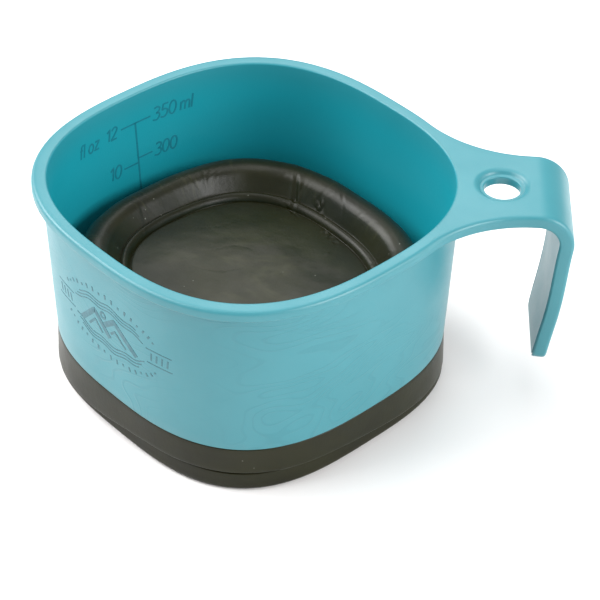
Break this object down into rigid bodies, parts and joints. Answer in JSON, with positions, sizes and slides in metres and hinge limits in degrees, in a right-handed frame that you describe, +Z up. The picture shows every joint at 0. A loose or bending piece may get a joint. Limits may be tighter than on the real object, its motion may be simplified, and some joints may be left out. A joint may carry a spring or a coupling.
{
  "type": "collapsible cup",
  "caption": "Rounded-square collapsible travel cup: rigid band with a bent corner handle and hanging hole, soft base folded up inside the band.",
  "frame": {"origin": "on the cup's vertical axis, in the plane of the ring that the collapsed cup stands on", "axes": "+X towards the handle's corner, +Z up out of the mouth"},
  "size_m": [0.1165, 0.0946, 0.0517],
  "materials": {
    "teal_plastic": "satin moulded polypropylene",
    "soft_rubber": "semi-matt moulded elastomer",
    "ink": "thin printed ink"
  },
  "bodies": {
    "cup_band": {"rim_band": "teal_plastic", "handle": "teal_plastic", "collar": "soft_rubber", "fold_ring": "soft_rubber", "sole_ring": "soft_rubber", "folding_wall": "soft_rubber"},
    "cup_floor": {"crest_roll": "soft_rubber", "floor_slope": "soft_rubber", "floor_bead": "soft_rubber", "floor_panel": "soft_rubber", "foot_ring": "soft_rubber"}
  },
  "joints": [
    {"name": "base_slide", "type": "slide", "parent": "cup_band", "child": "cup_floor", "axis": [0, 0, -1], "range_m": [0, 0.058], "deforming": ["folding_wall"]}
  ]
}
